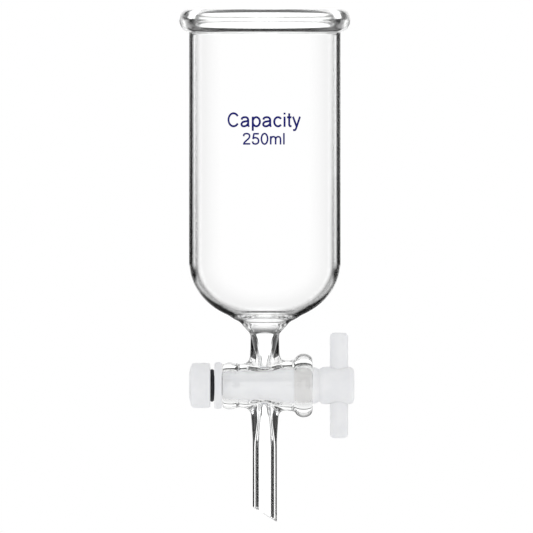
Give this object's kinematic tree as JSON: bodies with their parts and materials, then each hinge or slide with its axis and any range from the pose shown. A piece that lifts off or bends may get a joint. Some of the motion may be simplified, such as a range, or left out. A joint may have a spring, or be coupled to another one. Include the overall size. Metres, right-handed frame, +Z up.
{
  "type": "separatory funnel",
  "caption": "Open-topped cylindrical glass separatory funnel with a beaded rim, rounded bowl, horizontal taper-plug stopcock with crossbar handle and lock nut, and a bevelled drip stem.",
  "frame": {"origin": "on the vessel's axis, at the middle of the band under the beaded rim where a clamp grips the tube", "axes": "+Z up along the vessel's axis towards the open rim; +X along the stopcock's axis towards the handle; -Y is the side that is read, with the stopcock across it"},
  "size_m": [0.0693, 0.0678, 0.2025],
  "materials": {
    "glass": "clear, fire-polished borosilicate glass",
    "ptfe": "satin white PTFE",
    "rubber": "black moulded rubber"
  },
  "bodies": {
    "glass_body": {"vessel": "glass", "outlet_neck": "glass", "stopcock_barrel": "glass", "drip_stem": "glass"},
    "plug": {"stopcock_plug": "ptfe", "handle_bar": "ptfe", "washer": "ptfe"},
    "ring": {"o_ring": "rubber"},
    "nut": {"lock_nut": "ptfe"}
  },
  "joints": [
    {"name": "stopcock_turn", "type": "hinge", "parent": "glass_body", "child": "plug", "pos_m": [0, 0, -0.13], "axis": [1, 0, 0], "continuous": true},
    {"name": "nut_travel", "type": "slide", "parent": "plug", "child": "ring", "axis": [-1, 0, 0], "range_m": [0, 0.0045]},
    {"name": "nut_turn", "type": "hinge", "parent": "ring", "child": "nut", "pos_m": [-0.026, 0, -0.13], "axis": [-1, 0, 0], "range_deg": [0, 1080]}
  ],
  "couplings": [
    {"joint": "nut_turn", "follows": "nut_travel", "rad_per_m": 4188.8}
  ]
}
